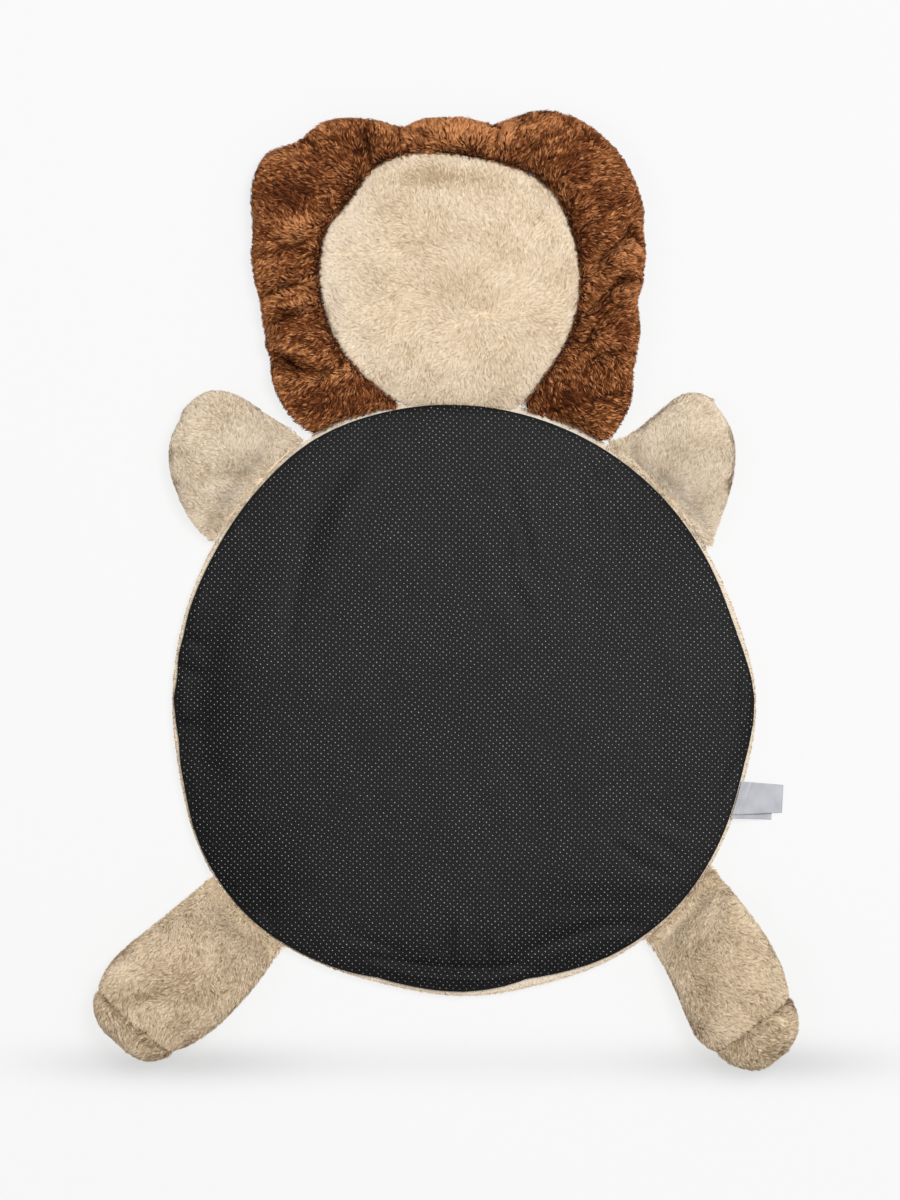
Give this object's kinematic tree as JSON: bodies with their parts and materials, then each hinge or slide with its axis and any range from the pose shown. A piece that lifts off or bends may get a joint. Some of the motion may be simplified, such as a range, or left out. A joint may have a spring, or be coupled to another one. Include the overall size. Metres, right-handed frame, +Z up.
{
  "type": "lion-shaped plush play mat",
  "caption": "Round padded plush play mat with a stuffed lion's head, gathered mane, arms and legs, lying face down with its black non-slip underside up.",
  "frame": {"origin": "on the surface that the mat lies on, under the centre of the round mat", "axes": "+Y from the feet to the head, +X to the right of the underside as it is seen, +Z up out of the non-slip underside"},
  "size_m": [0.7052, 0.9596, 0.0664],
  "materials": {
    "tan_plush": "short soft tan plush",
    "head_plush": "short soft cream-tan plush, brushed in swirls",
    "leg_plush": "short soft tan plush, a shade deeper than the head",
    "brown_plush": "longer brown plush, gathered",
    "non_slip_fabric": "black woven cloth with a fine lattice of small pale grip dots",
    "label_satin": "off-white satin, bare"
  },
  "bodies": {
    "root": {"mat_pad": "tan_plush", "base_panel": "non_slip_fabric", "head": "head_plush", "mane": "brown_plush", "arm_left": "tan_plush", "arm_right": "tan_plush", "leg_left": "leg_plush", "leg_right": "leg_plush", "sole_left": "leg_plush", "sole_right": "leg_plush", "label_upper_leaf": "label_satin", "label_under_leaf": "label_satin"}
  },
  "joints": []
}
